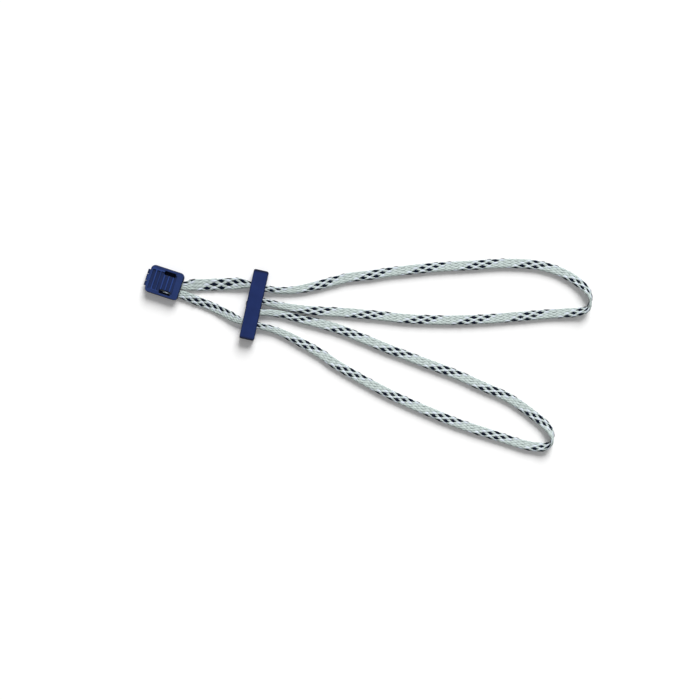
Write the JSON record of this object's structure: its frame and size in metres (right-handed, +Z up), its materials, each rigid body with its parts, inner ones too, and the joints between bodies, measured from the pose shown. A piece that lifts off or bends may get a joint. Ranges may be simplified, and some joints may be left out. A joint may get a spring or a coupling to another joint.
{
  "type": "double-loop cord restraint",
  "caption": "Flat braided cord forming paired adjustable loops, drawn through a slotted lock bar and joined in a hinged, ribbed end clip.",
  "frame": {"origin": "centre of the flat underside of the lock bar, on the surface the object lies on", "axes": "+X through the bar towards the loops, +Y along the bar, +Z up off the surface"},
  "size_m": [0.3792, 0.1609, 0.0094],
  "materials": {
    "navy_plastic": "moulded nylon, satin",
    "spring_steel": "bright rolled strip",
    "braided_cord": "flat tubular braid, pale with dark tracers"
  },
  "bodies": {
    "lock": {"lock_bar_base": "navy_plastic", "lock_bar_cover": "navy_plastic", "cord_core_upper": "braided_cord", "cord_core_lower": "braided_cord", "cord_bight": "braided_cord", "cord_loop_upper": "braided_cord", "cord_loop_lower": "braided_cord"},
    "upper_tongue": {"locking_tongue_upper": "spring_steel"},
    "lower_tongue": {"locking_tongue_lower": "spring_steel"},
    "clip": {"clip_base": "navy_plastic", "clip_hinge_pin": "spring_steel", "cord_end_upper": "braided_cord", "cord_end_lower": "braided_cord", "cord_tail_upper": "braided_cord", "cord_tail_lower": "braided_cord"},
    "lid": {"clip_lid": "navy_plastic"}
  },
  "joints": [
    {"name": "cord_pull", "type": "slide", "parent": "lock", "child": "clip", "axis": [-1, 0, 0], "range_m": [0, 0.4], "deforming": ["cord_tail_upper", "cord_tail_lower", "cord_loop_upper", "cord_loop_lower"]},
    {"name": "clip_lid_hinge", "type": "hinge", "parent": "clip", "child": "lid", "pos_m": [-0.09408, 0.00368, 0.00445], "axis": [-0.0976, -0.9952, 0], "range_deg": [0, 170]},
    {"name": "upper_tongue_flex", "type": "hinge", "parent": "lock", "child": "upper_tongue", "pos_m": [0.0036, 0.016, 0.00705], "axis": [0, 1, 0], "range_deg": [0, 8], "stiffness_Nm_per_rad": 0.08},
    {"name": "lower_tongue_flex", "type": "hinge", "parent": "lock", "child": "lower_tongue", "pos_m": [0.0036, -0.016, 0.00705], "axis": [0, 1, 0], "range_deg": [0, 8], "stiffness_Nm_per_rad": 0.08}
  ]
}
